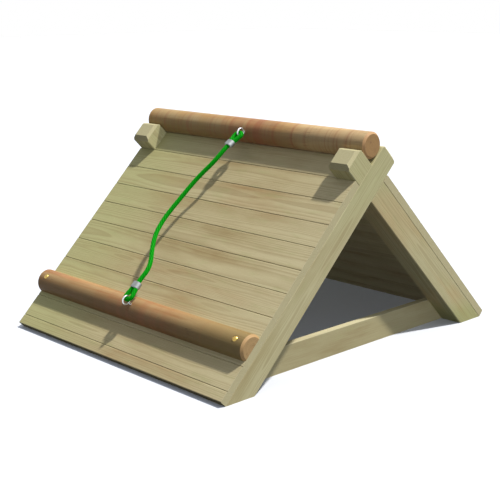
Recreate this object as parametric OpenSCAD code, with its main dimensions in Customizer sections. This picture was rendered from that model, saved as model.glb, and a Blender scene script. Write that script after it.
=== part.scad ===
// A-shaped climbing ramp for small children: two half-lapped frames, boarded on both faces,
// a round log along the ridge, a half-round rail near the foot and a rope between the two.
// Frame: X runs along the ridge, Y to the back, Z up. The origin is on the floor, under the ridge.

/* [Frame] */
// Width over the outer faces of the posts
width = 1250; // [900:10:1600]
// Height of the point where the centre lines of two crossed posts meet
lap_height = 664; // [560:2:800]
// Side of the square posts
post_w = 98; // [80:1:110]
// Length of post that stands past the lap and cradles the ridge log
horn_len = 100; // [95:1:130]
// Bevel across the tip of each horn, at its upper and lower corners
horn_bevel = 18; // [6:1:20]
// Bevel across the tip of each horn, at its two sides
horn_side_bevel = 10; // [4:1:16]
// Bevel along the long edges of the posts
post_bevel = 3; // [1:0.5:5]

/* [Boards] */
// Thickness of the boards
board_t = 30; // [24:1:36]
// Share of a full board that the ripped lowest board keeps
last_board = 0.42; // [0.4:0.01:0.95]
// Open joint between two boards
board_gap = 0.6; // [0.2:0.1:1.5]
// Width of the tongue
tongue_w = 8; // [6:0.5:10]
// Thickness of the tongue
tongue_t = 9; // [7:0.5:12]
// Play of the tongue in its groove, at each side
tongue_play = 0.3; // [0.2:0.1:0.6]
// Bevel along the edges of a board's face
board_bevel = 2.2; // [1:0.1:4]
// Height of the boards' lower corner above the floor
board_clear = 0.5; // [0.3:0.1:12]

/* [Logs] */
// Diameter of the ridge log
log_d = 100; // [90:1:104]
// Diameter of the log that the foot rail is sawn from
rail_d = 100; // [80:1:110]
// Distance from the boards to the middle of that log
rail_rise = 3.5; // [0:0.5:12]
// Distance of the foot rail's middle from the boards' lower edge
rail_up = 210; // [180:2:300]
// Bevel around the ends of both logs
log_bevel = 8; // [4:1:12]

/* [Ties] */
// Height of the ties on the floor
tie_h = 100; // [80:1:140]
// Thickness of the ties
tie_t = 30; // [20:1:40]
// Space between a tie's end and the boards
tie_clear = 4; // [2:1:12]

/* [Rope] */
// Diameter of the rope
rope_d = 18; // [14:1:18]
// Distance of the middle of a ferrule from its eye
ferrule_at = 68; // [64:1:76]
// Length of a ferrule
ferrule_len = 26; // [20:1:32]
// Width of a ferrule, over the two strands of its eye
ferrule_w = 39; // [37:1:44]
// Thickness of a ferrule
ferrule_t = 26; // [22:1:28]

/* [Eye bolts] */
// Diameter of the wire that an eye is bent from
eye_wire = 7; // [6:0.5:8]
// Diameter of the hole in an eye
eye_hole = 25; // [22:0.5:34]
// Length of shank that shows between the foot rail and its eye
rail_eye_gap = 8; // [0.5:0.5:15]
// Diameter of the shank of an eye bolt
eye_shank = 10; // [8:0.5:12]

/* [Fixings] */
// Diameter of the coach bolts in the foot rail
bolt_d = 10; // [8:1:12]
// Diameter of their domed heads
bolt_head_d = 22; // [18:1:26]
// Height of their domed heads
bolt_head_h = 6; // [4:0.5:8]
// Outer diameter of the washers
washer_d = 24; // [22:1:30]
// Thickness of the washers
washer_t = 2; // [1.5:0.5:3]
// Width of the nuts across flats
nut_w = 17; // [15:1:20]
// Height of the nuts
nut_h = 8; // [6:1:10]
// Diameter of the screws in the laps and ties
screw_d = 8; // [6:1:10]
// Length of the lap screws, under the head
lap_screw_len = 80; // [65:1:90]
// Length of the tie screws, under the head
tie_screw_len = 75; // [55:1:90]
// Depth to which the ridge screws enter the ridge log
ridge_screw_bite = 45; // [30:1:55]
// Diameter of the nails
nail_d = 3.4; // [2.5:0.1:4]
// Length of the nails
nail_len = 40; // [34:1:42]

/* [Hidden] */
$fn = 64;
half = post_w / 2;
horn_end = half + horn_len;
// the laps are square, so both faces slope at 45 degrees
slope = 45;
board_top = half + board_t;
// In a frame's plane, down is the distance down a face from the lap, and out the distance outwards
// across it. The floor is where down - out equals floor_at.
floor_at = lap_height / cos(slope);
board_end = floor_at + half - board_clear / cos(slope);
boards = 10;
board_pitch = (board_end - half - board_gap) / (boards - 1 + last_board);
tongue_mid = half + board_t / 2;
mitre_share = 0.4;
log_r = log_d / 2;
log_at = half + log_r;
log_z = lap_height + 2 * log_at * cos(slope);
rail_r = rail_d / 2;
rail_at = board_end - rail_up;
rail_crown = board_top + rail_rise + rail_r;
post_x = width / 2 - half;
inner_x = width / 2 - post_w;
spot_depth = 1.5;
free_play = 2;
over = 1;
head_seat = rail_crown - spot_depth;
thread_end = 4;
bore_depth = washer_t + nut_h + thread_end;
ridge_grip = log_d - bore_depth;
rail_grip = rail_r + rail_rise + board_t;
eye_r = (eye_hole + eye_wire) / 2;
ridge_eye_gap = 0.5;
ridge_eye_out = eye_hole / 2 + eye_wire + ridge_eye_gap;
rail_eye_out = eye_hole / 2 + eye_wire + rail_eye_gap;
ridge_depth = ridge_eye_out + ridge_grip;
rail_depth = rail_eye_out + rail_grip;
rope_r = rope_d / 2;
eye_play = 0.4;
loop_slack = 4;
loop_r = rope_r + eye_wire / 2 + loop_slack;
loop_at = eye_r + loop_r - rope_r - eye_wire / 2 - eye_play;
ferrule_half = ferrule_len / 2;
ferrule_bevel = 2;
loop_end = ferrule_at - ferrule_half;
loop_steps = 16;
strand_gap = 1;
rope_start = ferrule_at + ferrule_half;
countersink = 4;
screw_head_w = 13;
screw_head_h = 5.5;
lap_screw_at = 22;
ridge_screw_at = 16;
tie_screw_rows = [0.28 * tie_h, 0.72 * tie_h];
nail_start = 2;
nail_slant = 60;
nail_out = 20;

// the straight line between the two eyes
top_eye = [0, -log_r - ridge_eye_out, log_z];
low_eye = face_point(rail_at, rail_crown + rail_eye_out);
eye_span = norm(low_eye - top_eye);
eye_line = (low_eye - top_eye) / eye_span;
eye_side = cross(eye_line, [1, 0, 0]);
eye_turn = atan2(-eye_line[1], eye_line[2]);

// The upper eye of the rope follows the rope: it turns outwards about the middle of the ring and
// leans to the left about the ring's wire
top_turn = 7.5;
top_lean = 6;
top_spoke = cos(top_turn) * eye_line + sin(top_turn) * eye_side;
top_way = cos(top_lean) * top_spoke - sin(top_lean) * [1, 0, 0];
rope_top = top_eye + eye_r * top_spoke + (rope_start - eye_r) * top_way;
rope_low = low_eye - rope_start * eye_line;

// Route of the rope between its ends: distance to the right, share of the way from the upper
// ferrule to the lower one, and distance out from the line of the eyes. The stiff rope bows to
// the left.
rope_route = [
    [-9, 0.03, 12.5], [-12.5, 0.065, 12.5], [-18.5, 0.105, 11.5], [-29, 0.15, 9.5],
    [-43.5, 0.2, 7.5], [-56, 0.25, 5.5], [-66, 0.3, 3.5], [-73.5, 0.35, 2], [-80, 0.4, 0.5],
    [-85.5, 0.45, 0], [-90.5, 0.5, -0.5], [-92.5, 0.55, 0], [-90.5, 0.6, 0.5], [-83.5, 0.65, 2],
    [-71.5, 0.7, 2.5], [-54, 0.75, 2.5], [-33, 0.8, 1.5], [-14.5, 0.845, -0.5], [-2.5, 0.885, -1.5],
    [1.5, 0.92, -1.5], [1.5, 0.95, -0.5], [0.5, 0.977, 0]
];
rope_sides = 12;

// ---- places -----------------------------------------------------------------------------------

// Point in the middle of the climbing face
function face_point(down, out) = [
    0,
    -cos(slope) * (down + out),
    lap_height - sin(slope) * down + cos(slope) * out
];

// Moves a shape drawn with y down the face and z outwards to the climbing face
module on_front() {
    translate([0, 0, lap_height]) rotate([slope, 0, 0]) mirror([0, 1, 0]) children();
}

module on_back() {
    mirror([0, 1, 0]) on_front() children();
}

// Moves a shape drawn with z along the line of the eyes to one of the eyes
module at_top_eye() {
    translate(top_eye) rotate([eye_turn - top_turn, 0, 0])
        translate([0, 0, eye_r]) rotate([0, -top_lean, 0]) translate([0, 0, -eye_r]) children();
}

module at_low_eye() {
    translate(low_eye) rotate([eye_turn + 180, 0, 0]) children();
}

module at_both_posts() {
    for (side = [-1, 1]) translate([side * post_x, 0, 0]) children();
}

// Extrudes an outline drawn as (down, out), or as (y, z), along the ridge
module along_ridge(length) {
    rotate([90, 0, 90]) linear_extrude(length, center = true) children();
}

// ---- posts ------------------------------------------------------------------------------------

// Outline of a post in its frame's plane: tip bevelled, foot cut level with the floor
module post_side() {
    polygon([
        [-horn_end, half - horn_bevel], [-horn_end + horn_bevel, half], [floor_at + half, half],
        [floor_at - half, -half], [-horn_end + horn_bevel, -half], [-horn_end, horn_bevel - half]
    ]);
}

// Outline of a post seen square to its face
module post_plan() {
    polygon([
        [half - horn_side_bevel, -horn_end], [half, horn_side_bevel - horn_end],
        [half, floor_at + half], [-half, floor_at + half], [-half, horn_side_bevel - horn_end],
        [horn_side_bevel - half, -horn_end]
    ]);
}

// Section of a post
module post_section() {
    flat = half - post_bevel;
    polygon([
        [flat, half], [half, flat], [half, -flat], [flat, -half],
        [-flat, -half], [-half, -flat], [-half, flat], [-flat, half]
    ]);
}

// A post drawn on its face's axes, with the half on cut_side taken away at the lap
module post(cut_side) {
    difference() {
        intersection() {
            along_ridge(post_w) post_side();
            linear_extrude(post_w, center = true) post_plan();
            translate([0, floor_at + half, 0]) rotate([90, 0, 0])
                linear_extrude(floor_at + half + horn_end) post_section();
        }
        translate([cut_side * half, 0, 0]) cube([post_w, post_w, post_w + 2 * over], center = true);
    }
}

module front_post(side) {
    color("#b3ae84") difference() {
        on_front() translate([side * post_x, 0, 0]) post(-side);
        lap_screw_shanks(side);
        tie_screw_shanks(side);
        ridge_screws(past = over);
        rail_bolt_shanks();
        front_nails();
    }
}

module back_post(side) {
    color("#a89f74") difference() {
        on_back() translate([side * post_x, 0, 0]) post(side);
        lap_screw_shanks(side);
        tie_screw_shanks(side);
        back_nails();
    }
}

// ---- boards -----------------------------------------------------------------------------------

function board_from(n) = half + board_gap + (n - 1) * board_pitch;
function board_to(n) = n == boards ? board_end : board_from(n) + board_pitch - board_gap;

// Section of a board in (down, out) without its tongue
module board_section(top, bottom) {
    polygon([
        [top, half], [top, board_top - board_bevel], [top + board_bevel, board_top],
        [bottom - board_bevel, board_top], [bottom, board_top - board_bevel], [bottom, half]
    ]);
}

module tongue_section(top) {
    translate([top - tongue_w, tongue_mid - tongue_t / 2]) square([tongue_w + over, tongue_t]);
}

module groove_section(bottom) {
    groove_t = tongue_t + 2 * tongue_play;
    translate([bottom - tongue_w, tongue_mid - groove_t / 2]) square([tongue_w + over, groove_t]);
}

// Board n of a face, counted from the ridge: tongue up the slope, groove below. The first tongue
// stops short of the horns, and the lowest board has no groove.
module board(n) {
    tongue_len = n == 1 ? 2 * inner_x - free_play : width;
    along_ridge(width) difference() {
        board_section(board_from(n), board_to(n));
        if (n < boards) groove_section(board_to(n));
    }
    along_ridge(tongue_len) tongue_section(board_from(n));
}

module front_board(n) {
    color("#b5aa7c") difference() {
        on_front() board(n);
        front_nails();
        rail_bolt_shanks();
        rail_eye_shank();
    }
}

module back_board(n) {
    color("#aca277") difference() {
        on_back() board(n);
        back_nails();
    }
}

// The infill between the horns: grooved below, mitred to its fellow under the ridge log
module ridge_board() {
    mitre = half + mitre_share * board_t;
    along_ridge(2 * inner_x) difference() {
        polygon([
            [-half, half], [-mitre, mitre], [-half, board_top], [half - board_bevel, board_top],
            [half, board_top - board_bevel], [half, half]
        ]);
        groove_section(half);
    }
}

module front_ridge_board() {
    color("#a59d72") on_front() ridge_board();
}

module back_ridge_board() {
    color("#a59d72") on_back() ridge_board();
}

// Secret nails, slanting through the root of every tongue but the first into both posts
module nails() {
    for (side = [-1, 1], n = [2:boards])
        translate([side * (post_x + nail_out), board_from(n), tongue_mid + tongue_t / 2])
            rotate([-90 - nail_slant, 0, 0]) translate([0, 0, nail_start])
                cylinder(d = nail_d, h = nail_len, $fn = 24);
}

module front_nails() {
    color("#8d8f92") on_front() nails();
}

module back_nails() {
    color("#8d8f92") on_back() nails();
}

// ---- logs -------------------------------------------------------------------------------------

// A log along the ridge, bevelled at both ends
module log_solid(r) {
    end = width / 2;
    rotate([0, 90, 0]) rotate_extrude($fn = 128) polygon([
        [0, -end], [r - log_bevel, -end], [r, log_bevel - end],
        [r, end - log_bevel], [r - log_bevel, end], [0, end]
    ]);
}

module ridge_log() {
    color("#b5875a") difference() {
        translate([0, 0, log_z]) log_solid(log_r);
        translate([0, log_r - bore_depth, log_z]) rotate([-90, 0, 0])
            cylinder(d = washer_d + free_play, h = log_r);
        at_ridge_eye() eye_shank_solid(ridge_depth);
        ridge_screws();
    }
}

// Half-round rail, flat on the boards, with a spot face under each bolt's head
module foot_rail() {
    color("#a9764c") difference() {
        on_front() translate([0, rail_at, board_top]) intersection() {
            translate([0, 0, rail_rise]) log_solid(rail_r);
            translate([-width / 2, -rail_r, 0]) cube([width, rail_d, rail_rise + rail_r]);
        }
        on_front() at_both_posts() translate([0, rail_at, head_seat])
            cylinder(d = bolt_head_d + free_play, h = rail_r);
        rail_bolt_shanks();
        rail_eye_shank();
    }
}

// ---- ties -------------------------------------------------------------------------------------

// A tie between the feet of one frame, its ends cut to the slope of the boards
module tie(side) {
    reach = lap_height + post_w * cos(slope) - tie_clear / cos(slope);
    color("#aaa174") difference() {
        translate([side * (inner_x - tie_t / 2), 0, 0]) along_ridge(tie_t) polygon([
            [-reach, 0], [tie_h - reach, tie_h], [reach - tie_h, tie_h], [reach, 0]
        ]);
        tie_screw_shanks(side);
    }
}

// ---- fixings ----------------------------------------------------------------------------------

module hexagon(w, h) {
    cylinder(d = w / cos(30), h = h, $fn = 6);
}

// Screws of the lap on one side, driven from the inner face of the posts
module lap_screw_places(side) {
    on_front() for (at = [-lap_screw_at, lap_screw_at])
        translate([side * inner_x, at, -at]) rotate([0, side * 90, 0]) children();
}

module lap_screw_shanks(side) {
    lap_screw_places(side) cylinder(d = screw_d, h = lap_screw_len);
}

module lap_screws() {
    color("#9a9da0") for (side = [-1, 1]) {
        lap_screw_shanks(side);
        lap_screw_places(side) translate([0, 0, -screw_head_h]) hexagon(screw_head_w, screw_head_h);
    }
}

// Screws of one tie, driven through it into the posts' centre lines
module tie_screw_places(side) {
    for (end = [-1, 1], z = tie_screw_rows)
        translate([side * (inner_x - tie_t), end * (lap_height - z), z]) rotate([0, side * 90, 0])
            children();
}

module tie_screw_shanks(side) {
    tie_screw_places(side) cylinder(d = screw_d, h = tie_screw_len);
}

module tie_screws() {
    color("#9a9da0") for (side = [-1, 1]) {
        tie_screw_shanks(side);
        tie_screw_places(side) translate([0, 0, -screw_head_h]) hexagon(screw_head_w, screw_head_h);
    }
}

// Countersunk screws through the horns behind the ridge log into its middle. Their holes are the
// same form, drawn on past the wood's face.
module ridge_screws(past = 0) {
    color("#9a9da0") for (side = [-1, 1], step = [-1, 1])
        on_front() translate([side * post_x + step * ridge_screw_at, -log_at, -half - past]) {
            cylinder(d = screw_d, h = past + post_w + ridge_screw_bite);
            cylinder(
                d1 = screw_d + 2 * (countersink + past),
                d2 = screw_d - 2 * over,
                h = past + countersink + over
            );
        }
}

module rail_bolt_shanks() {
    inner_end = half + washer_t + nut_h + thread_end;
    on_front() at_both_posts() translate([0, rail_at, -inner_end])
        cylinder(d = bolt_d, h = head_seat + inner_end);
}

// Coach bolts with domed heads
module rail_bolts() {
    dome_r = (bolt_head_d * bolt_head_d / 4 + bolt_head_h * bolt_head_h) / (2 * bolt_head_h);
    color("#b8963c") {
        rail_bolt_shanks();
        on_front() at_both_posts() translate([0, rail_at, head_seat]) intersection() {
            translate([0, 0, bolt_head_h - dome_r]) sphere(dome_r, $fn = 96);
            cylinder(d = bolt_head_d + over, h = bolt_head_h + over);
        }
    }
}

module washer(bore) {
    difference() {
        cylinder(d = washer_d, h = washer_t);
        translate([0, 0, -over]) cylinder(d = bore, h = washer_t + 2 * over);
    }
}

module nut(bore) {
    difference() {
        hexagon(nut_w, nut_h);
        translate([0, 0, -over]) cylinder(d = bore, h = nut_h + 2 * over);
    }
}

module rail_washers() {
    color("#c9cbcd") on_front() at_both_posts() translate([0, rail_at, -half - washer_t])
        washer(bolt_d);
}

module rail_nuts() {
    color("#c9cbcd") on_front() at_both_posts()
        translate([0, rail_at, -half - washer_t - nut_h]) nut(bolt_d);
}

// ---- eye bolts --------------------------------------------------------------------------------

module at_ridge_eye() {
    translate(top_eye) rotate([90, 0, 0]) children();
}

module at_rail_eye() {
    on_front() translate([0, rail_at, rail_crown + rail_eye_out]) children();
}

// Shank of an eye bolt whose ring is about the origin and whose washer is at the given depth
module eye_shank_solid(depth) {
    reach = depth + washer_t + nut_h + thread_end / 2;
    translate([0, 0, -reach]) cylinder(d = eye_shank, h = reach - eye_r);
}

module eye_bolt(depth) {
    rotate([0, 90, 0]) rotate_extrude($fn = 96) translate([eye_r, 0]) circle(d = eye_wire);
    eye_shank_solid(depth);
}

module eye_washer(depth) {
    translate([0, 0, -depth - washer_t]) washer(eye_shank);
}

module eye_nut(depth) {
    translate([0, 0, -depth - washer_t - nut_h]) nut(eye_shank);
}

module rail_eye_shank() {
    at_rail_eye() eye_shank_solid(rail_depth);
}

module ridge_eye() {
    color("#d5d7d9") at_ridge_eye() eye_bolt(ridge_depth);
}

module rail_eye() {
    color("#d5d7d9") at_rail_eye() eye_bolt(rail_depth);
}

module ridge_eye_washer() {
    color("#c9cbcd") at_ridge_eye() eye_washer(ridge_depth);
}

module rail_eye_washer() {
    color("#c9cbcd") at_rail_eye() eye_washer(rail_depth);
}

module ridge_eye_nut() {
    color("#c9cbcd") at_ridge_eye() eye_nut(ridge_depth);
}

module rail_eye_nut() {
    color("#c9cbcd") at_rail_eye() eye_nut(rail_depth);
}

// ---- rope -------------------------------------------------------------------------------------

function unit(v) = v / norm(v);

// Round rope of triangles along a path. Its end sections are square to two given directions, and
// side_way is square to the path.
module tube(path, first_way, last_way, side_way) {
    last = len(path) - 1;
    ways = [
        first_way,
        for (i = [1:last - 1]) unit(path[i + 1] - path[i - 1]),
        last_way
    ];
    points = [
        for (i = [0:last])
            let (across = unit(cross(ways[i], side_way)), up = cross(across, ways[i]))
                for (k = [0:rope_sides - 1])
                    let (turn = 360 * k / rope_sides)
                        path[i] + rope_r * (cos(turn) * across + sin(turn) * up)
    ];
    walls = [
        for (i = [0:last - 1], k = [0:rope_sides - 1])
            let (next = (k + 1) % rope_sides, low = i * rope_sides, high = low + rope_sides)
                for (face = [[low + k, high + next, high + k], [low + k, low + next, high + next]])
                    face
    ];
    top = last * rope_sides;
    ends = [
        for (k = [1:rope_sides - 2])
            for (face = [[0, k + 1, k], [top, top + k, top + k + 1]])
                face
    ];
    polyhedron(points, concat(walls, ends), convexity = 4);
}

// A spliced eye about the wire of an eye bolt: an arc and two legs that meet at the ferrule
module rope_loop() {
    span = loop_end - loop_at;
    strand = rope_r + strand_gap / 2;
    far = norm([strand, span]);
    lean = asin(loop_r / far) - atan2(strand, span);
    arc = [
        for (i = [0:loop_steps])
            let (turn = 180 - lean + i / loop_steps * (180 + 2 * lean))
                [loop_r * cos(turn), 0, loop_at + loop_r * sin(turn)]
    ];
    path = concat([[-strand, 0, loop_end]], arc, [[strand, 0, loop_end]]);
    tube(path, [0, 0, -1], [0, 0, 1], [0, 1, 0]);
}

// Oval sleeve pressed over the two strands of an eye
module ferrule() {
    barrel_r = ferrule_t / 2;
    apart = ferrule_w / 2 - barrel_r;
    half_profile = [
        [0, -ferrule_half], [barrel_r - ferrule_bevel, -ferrule_half],
        [barrel_r, ferrule_bevel - ferrule_half], [barrel_r, ferrule_half - ferrule_bevel],
        [barrel_r - ferrule_bevel, ferrule_half], [0, ferrule_half]
    ];
    translate([0, 0, ferrule_at]) {
        for (side = [-1, 1]) translate([side * apart, 0, 0]) rotate_extrude()
            polygon(half_profile);
        along_ridge(2 * apart) union() {
            polygon(half_profile);
            mirror([1, 0]) polygon(half_profile);
        }
    }
}

// Free stretch of the rope between the ferrules
module rope() {
    free_len = eye_span - 2 * rope_start;
    middle = [
        for (p = rope_route)
            top_eye + [p[0], 0, 0] + (rope_start + p[1] * free_len) * eye_line + p[2] * eye_side
    ];
    path = concat([rope_top], middle, [rope_low]);
    color("#2f9a35") tube(path, top_way, eye_line, eye_side);
}

module rope_loop_top() {
    color("#2f9a35") at_top_eye() rope_loop();
}

module rope_loop_bottom() {
    color("#2f9a35") at_low_eye() rope_loop();
}

module ferrule_top() {
    color("#dcdde0") at_top_eye() ferrule();
}

module ferrule_bottom() {
    color("#dcdde0") at_low_eye() ferrule();
}

front_post(-1);  // front_post_left
front_post(1);  // front_post_right
back_post(-1);  // back_post_left
back_post(1);  // back_post_right
front_board(1);  // front_board_1
front_board(2);  // front_board_2
front_board(3);  // front_board_3
front_board(4);  // front_board_4
front_board(5);  // front_board_5
front_board(6);  // front_board_6
front_board(7);  // front_board_7
front_board(8);  // front_board_8
front_board(9);  // front_board_9
front_board(10);  // front_board_10
back_board(1);  // back_board_1
back_board(2);  // back_board_2
back_board(3);  // back_board_3
back_board(4);  // back_board_4
back_board(5);  // back_board_5
back_board(6);  // back_board_6
back_board(7);  // back_board_7
back_board(8);  // back_board_8
back_board(9);  // back_board_9
back_board(10);  // back_board_10
front_ridge_board();
back_ridge_board();
ridge_log();
foot_rail();
tie(-1);  // tie_left
tie(1);  // tie_right
rail_bolts();
rail_washers();
rail_nuts();
ridge_eye();
ridge_eye_washer();
ridge_eye_nut();
rail_eye();
rail_eye_washer();
rail_eye_nut();
lap_screws();
ridge_screws();
tie_screws();
front_nails();
back_nails();
rope();
rope_loop_top();
rope_loop_bottom();
ferrule_top();
ferrule_bottom();
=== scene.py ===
"""Dresses a wooden climbing ramp: timber, logs, rope, fittings, floor, light and camera."""

import logging
import math
from dataclasses import dataclass, field
from enum import Enum
from typing import Iterable, Sequence

import bpy
from bpy.types import Material, Node, NodeTree, Object, bpy_prop_collection
from bpy.types import NodeSocket as Socket
from mathutils import Euler, Matrix, Vector


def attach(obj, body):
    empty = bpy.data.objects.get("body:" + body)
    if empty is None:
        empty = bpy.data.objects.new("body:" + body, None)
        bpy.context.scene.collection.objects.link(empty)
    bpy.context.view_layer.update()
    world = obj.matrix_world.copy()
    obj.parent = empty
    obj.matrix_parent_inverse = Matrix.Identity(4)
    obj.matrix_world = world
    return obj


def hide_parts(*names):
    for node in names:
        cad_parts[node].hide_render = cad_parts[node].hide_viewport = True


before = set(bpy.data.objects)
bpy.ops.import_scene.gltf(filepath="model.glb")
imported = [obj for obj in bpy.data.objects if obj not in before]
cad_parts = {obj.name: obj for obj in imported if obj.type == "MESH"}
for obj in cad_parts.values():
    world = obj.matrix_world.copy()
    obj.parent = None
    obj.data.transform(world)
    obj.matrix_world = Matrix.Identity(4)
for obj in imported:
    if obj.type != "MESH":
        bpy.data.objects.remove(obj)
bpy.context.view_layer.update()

log = logging.getLogger("ramp")

Colour = tuple[float, float, float, float]
Triple = tuple[float, float, float]
Span = tuple[float, float]
Sockets = dict[str, Socket]

# Slope of both faces
SLOPE = math.radians(45)
# Its sine, which is also its cosine
LEAN = math.cos(SLOPE)
# Height at which the posts' centre lines cross
LAP_Z = 0.664
RIGHT: Triple = (1.0, 0.0, 0.0)
LEFT: Triple = (-1.0, 0.0, 0.0)
FRONT: Triple = (0.0, -1.0, 0.0)
UP: Triple = (0.0, 0.0, 1.0)
DOWN: Triple = (0.0, 0.0, -1.0)


def srgb(red: int, green: int, blue: int) -> Colour:
    """Turns a screen's colour, from 0 to 255, into the linear and opaque one that a socket takes."""
    parts = (c / 255 for c in (red, green, blue))
    return (*(c / 12.92 if c <= 0.04045 else ((c + 0.055) / 1.055) ** 2.4 for c in parts), 1.0)


def face_point(down: float, out: float) -> Vector:
    """Gives the point so far down the climbing face from the lap, and so far out, square to it."""
    return Vector((0.0, -LEAN * (down + out), LAP_Z - LEAN * down + LEAN * out))


@dataclass(frozen=True)
class Fade:
    """A colour that a piece takes on towards one side, from start to full along a way."""

    way: Triple
    start: float
    full: float
    colour: Colour
    share: float


Fades = tuple[Fade, ...]


class Sketch:
    """Adds nodes to a shader tree and wires them up."""

    def __init__(self, tree: NodeTree) -> None:
        """Starts on a tree."""
        self.tree = tree

    def feed(self, node: Node, inputs: dict) -> None:
        """Sets or wires a node's inputs.

        Args:
            node: The node.
            inputs: Values or sockets, by the input's name or number.
        """
        for key, value in inputs.items():
            if isinstance(value, Socket):
                self.tree.links.new(value, node.inputs[key])
            else:
                node.inputs[key].default_value = value

    def add(self, kind: str, inputs: dict | None = None, **settings: object) -> Node:
        """Adds one node.

        Args:
            kind: The node's type name, without ShaderNode in front.
            inputs: Values or sockets for its inputs, by name or number.
            settings: Attributes of the node.

        Returns:
            The new node.
        """
        made = self.tree.nodes.new(f"ShaderNode{kind}")
        for name, value in settings.items():
            setattr(made, name, value)
        self.feed(made, inputs or {})
        return made

    def math(self, operation: str, *values: object, clamp: bool = False) -> Socket:
        """Adds a Math node and gives its output."""
        inputs = dict(enumerate(values))
        return self.add("Math", inputs, operation=operation, use_clamp=clamp).outputs[0]

    def times(self, first: Socket, second: object, clamp: bool = False) -> Socket:
        """Gives the product of two values."""
        return self.math("MULTIPLY", first, second, clamp=clamp)

    def vector(self, operation: str, *values: object) -> Socket:
        """Adds a Vector Math node and gives its vector, or its value where it has only that."""
        made = self.add("VectorMath", dict(enumerate(values)), operation=operation)
        return made.outputs["Value" if operation in {"LENGTH", "DOT_PRODUCT"} else "Vector"]

    def steps(self, value: Socket, span: Span) -> Socket:
        """Adds a smooth step from 0 at the span's start to 1 at its end."""
        inputs = {"Value": value, "From Min": span[0], "From Max": span[1]}
        return self.add("MapRange", inputs, interpolation_type="SMOOTHSTEP").outputs["Result"]

    def rest(self, mask: Socket) -> Socket:
        """Gives what a mask leaves over."""
        return self.math("SUBTRACT", 1.0, mask)

    def from_least(self, mask: Socket, least: float) -> Socket:
        """Lifts a mask, so that it runs from least to 1."""
        return self.math("MULTIPLY_ADD", mask, 1.0 - least, least)

    def mix(self, factor: object, first: object, second: object) -> Socket:
        """Adds a colour mix, where the factor is the second colour's share."""
        return self.add("Mix", {0: factor, 6: first, 7: second}, data_type="RGBA").outputs[2]

    def tint(self, ground: object, mask: Socket, share: float, colour: object) -> Socket:
        """Lays a colour over a ground where a mask says, with a share at most."""
        return self.mix(self.times(mask, share), ground, colour)

    def noise(self, vector: Socket, scale: float, detail: float = 2.0, rough: float = 0.5) -> Node:
        """Adds a noise texture, with its cells per unit as the scale."""
        inputs = {"Vector": vector, "Scale": scale, "Detail": detail, "Roughness": rough}
        return self.add("TexNoise", inputs)

    def cloud(
        self, vector: Socket, stretch: Triple, shift: Triple = (0.0, 0.0, 0.0), scale: float = 1.0,
        detail: float = 3.0, rough: float = 0.6,
    ) -> Socket:
        """Adds noise on coordinates that are first stretched, then shifted."""
        spread = self.vector("ADD", self.vector("MULTIPLY", vector, stretch), shift)
        return self.noise(spread, scale, detail, rough).outputs["Fac"]

    def facing(self, way: Triple) -> Socket:
        """Tells how squarely a surface looks along a way, either side."""
        normal = self.add("NewGeometry").outputs["Normal"]
        return self.math("ABSOLUTE", self.vector("DOT_PRODUCT", normal, way))

    def fade(self, ground: Socket, where: Socket, fades: Fades) -> Socket:
        """Lays fades over a ground.

        Args:
            ground: The colour under them.
            where: The object coordinates.
            fades: The fades, the last one on top.

        Returns:
            The colour with the fades on it.
        """
        for fade in fades:
            there = self.steps(self.vector("DOT_PRODUCT", where, fade.way), (fade.start, fade.full))
            ground = self.tint(ground, there, fade.share, fade.colour)
        return ground

    def bump(self, height: Socket, relief: Span) -> Socket:
        """Adds a bump, given its strength and its distance in metres, and gives its normal."""
        inputs = {"Height": height, "Strength": relief[0], "Distance": relief[1]}
        return self.add("Bump", inputs).outputs["Normal"]


class Pattern:
    """A shader group of masks, built once and then shared."""

    label = ""
    takes: dict[str, str] = {}

    def draw(self, s: Sketch, takes: Sockets) -> Sockets:
        """Draws the masks from the group's inputs, each pattern in its own way."""
        raise NotImplementedError

    def tree(self) -> NodeTree:
        """Builds the group, or finds the one that is built.

        Returns:
            The group.
        """
        if self.label in bpy.data.node_groups:
            return bpy.data.node_groups[self.label]
        tree = bpy.data.node_groups.new(self.label, "ShaderNodeTree")
        for name, kind in self.takes.items():
            tree.interface.new_socket(name, in_out="INPUT", socket_type=f"NodeSocket{kind}")
        s = Sketch(tree)
        source = tree.nodes.new("NodeGroupInput")
        masks = self.draw(s, {name: source.outputs[name] for name in self.takes})
        for name in masks:
            tree.interface.new_socket(name, in_out="OUTPUT", socket_type="NodeSocketFloat")
        s.feed(tree.nodes.new("NodeGroupOutput"), masks)
        return tree

    def use(self, s: Sketch, inputs: dict) -> bpy_prop_collection:
        """Puts the group into a tree and gives its outputs."""
        return s.add("Group", inputs, node_tree=self.tree()).outputs


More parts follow.
